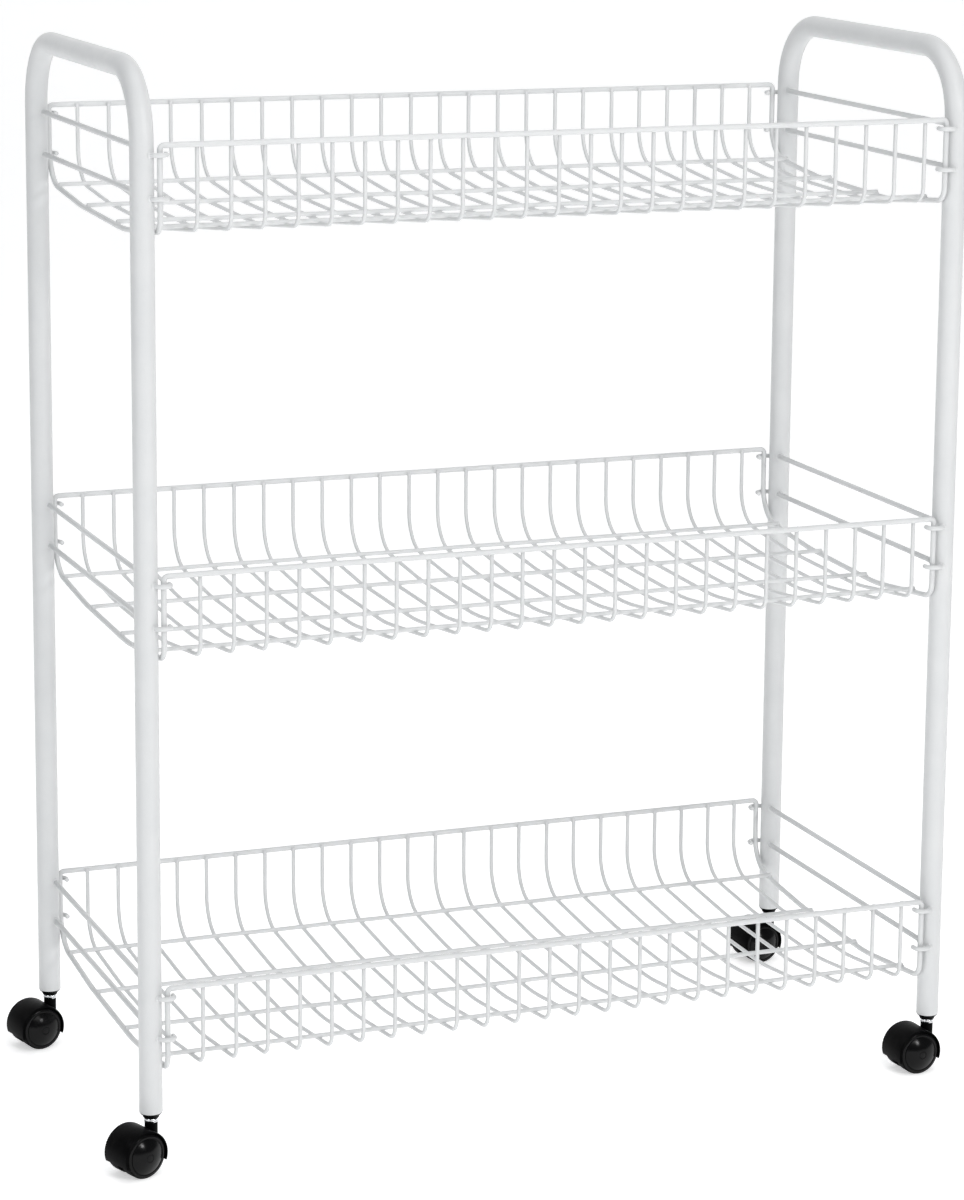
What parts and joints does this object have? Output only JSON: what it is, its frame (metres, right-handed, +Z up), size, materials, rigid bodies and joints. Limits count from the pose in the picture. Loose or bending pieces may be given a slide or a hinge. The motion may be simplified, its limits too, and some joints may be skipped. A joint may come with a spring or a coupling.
{
  "type": "rolling utility cart",
  "caption": "Rolling utility cart with bent-tube side frames, open wire baskets as tiers and swivel casters.",
  "frame": {"origin": "on the floor under the middle of the cart's box, casters included", "axes": "+Z up, +X along the cart's width to the right seen from the front, front towards -Y"},
  "size_m": [0.7478, 0.3638, 0.8931],
  "materials": {
    "white_paint": "satin white powder coat",
    "black_plastic": "satin black, finely grained",
    "gloss_black": "glossy black",
    "chrome": "bright plated",
    "axle_steel": "drawn bright steel"
  },
  "bodies": {
    "frame": {"left_frame_tube": "white_paint", "right_frame_tube": "white_paint", "left_bottom_upper_rung": "white_paint", "left_bottom_lower_rung": "white_paint", "left_middle_upper_rung": "white_paint", "left_middle_lower_rung": "white_paint", "left_top_upper_rung": "white_paint", "left_top_lower_rung": "white_paint", "right_bottom_upper_rung": "white_paint", "right_bottom_lower_rung": "white_paint", "right_middle_upper_rung": "white_paint", "right_middle_lower_rung": "white_paint", "right_top_upper_rung": "white_paint", "right_top_lower_rung": "white_paint", "bottom_basket": "white_paint", "middle_basket": "white_paint", "top_basket": "white_paint", "front_left_socket": "black_plastic", "front_left_stem": "chrome", "front_right_socket": "black_plastic", "front_right_stem": "chrome", "back_left_socket": "black_plastic", "back_left_stem": "chrome", "back_right_socket": "black_plastic", "back_right_stem": "chrome"},
    "front_left_swivel": {"front_left_hood": "black_plastic", "front_left_axle": "axle_steel"},
    "front_right_swivel": {"front_right_hood": "black_plastic", "front_right_axle": "axle_steel"},
    "back_left_swivel": {"back_left_hood": "black_plastic", "back_left_axle": "axle_steel"},
    "back_right_swivel": {"back_right_hood": "black_plastic", "back_right_axle": "axle_steel"},
    "front_left_near_wheel": {"front_left_near_wheel": "gloss_black"},
    "front_left_far_wheel": {"front_left_far_wheel": "gloss_black"},
    "front_right_near_wheel": {"front_right_near_wheel": "gloss_black"},
    "front_right_far_wheel": {"front_right_far_wheel": "gloss_black"},
    "back_left_near_wheel": {"back_left_near_wheel": "gloss_black"},
    "back_left_far_wheel": {"back_left_far_wheel": "gloss_black"},
    "back_right_near_wheel": {"back_right_near_wheel": "gloss_black"},
    "back_right_far_wheel": {"back_right_far_wheel": "gloss_black"}
  },
  "joints": [
    {"name": "front_left_turn", "type": "hinge", "parent": "frame", "child": "front_left_swivel", "pos_m": [-0.33525, -0.15518, 0.04], "axis": [0, 0, 1], "continuous": true},
    {"name": "front_right_turn", "type": "hinge", "parent": "frame", "child": "front_right_swivel", "pos_m": [0.36475, -0.15518, 0.04], "axis": [0, 0, 1], "continuous": true},
    {"name": "back_left_turn", "type": "hinge", "parent": "frame", "child": "back_left_swivel", "pos_m": [-0.33525, 0.16482, 0.04], "axis": [0, 0, 1], "continuous": true},
    {"name": "back_right_turn", "type": "hinge", "parent": "frame", "child": "back_right_swivel", "pos_m": [0.36475, 0.16482, 0.04], "axis": [0, 0, 1], "continuous": true},
    {"name": "front_left_near_roll", "type": "hinge", "parent": "front_left_swivel", "child": "front_left_near_wheel", "pos_m": [-0.34934, -0.16031, 0.0185], "axis": [0.342, -0.9397, 0], "continuous": true},
    {"name": "front_left_far_roll", "type": "hinge", "parent": "front_left_swivel", "child": "front_left_far_wheel", "pos_m": [-0.34934, -0.16031, 0.0185], "axis": [0.342, -0.9397, 0], "continuous": true},
    {"name": "front_right_near_roll", "type": "hinge", "parent": "front_right_swivel", "child": "front_right_near_wheel", "pos_m": [0.34979, -0.15622, 0.0185], "axis": [0.0698, -0.9976, 0], "continuous": true},
    {"name": "front_right_far_roll", "type": "hinge", "parent": "front_right_swivel", "child": "front_right_far_wheel", "pos_m": [0.34979, -0.15622, 0.0185], "axis": [0.0698, -0.9976, 0], "continuous": true},
    {"name": "back_left_near_roll", "type": "hinge", "parent": "back_left_swivel", "child": "back_left_near_wheel", "pos_m": [-0.3498, 0.1612, 0.0185], "axis": [0.2419, -0.9703, 0], "continuous": true},
    {"name": "back_left_far_roll", "type": "hinge", "parent": "back_left_swivel", "child": "back_left_far_wheel", "pos_m": [-0.3498, 0.1612, 0.0185], "axis": [0.2419, -0.9703, 0], "continuous": true},
    {"name": "back_right_near_roll", "type": "hinge", "parent": "back_right_swivel", "child": "back_right_near_wheel", "pos_m": [0.3499, 0.16274, 0.0185], "axis": [0.1392, -0.9903, 0], "continuous": true},
    {"name": "back_right_far_roll", "type": "hinge", "parent": "back_right_swivel", "child": "back_right_far_wheel", "pos_m": [0.3499, 0.16274, 0.0185], "axis": [0.1392, -0.9903, 0], "continuous": true}
  ]
}
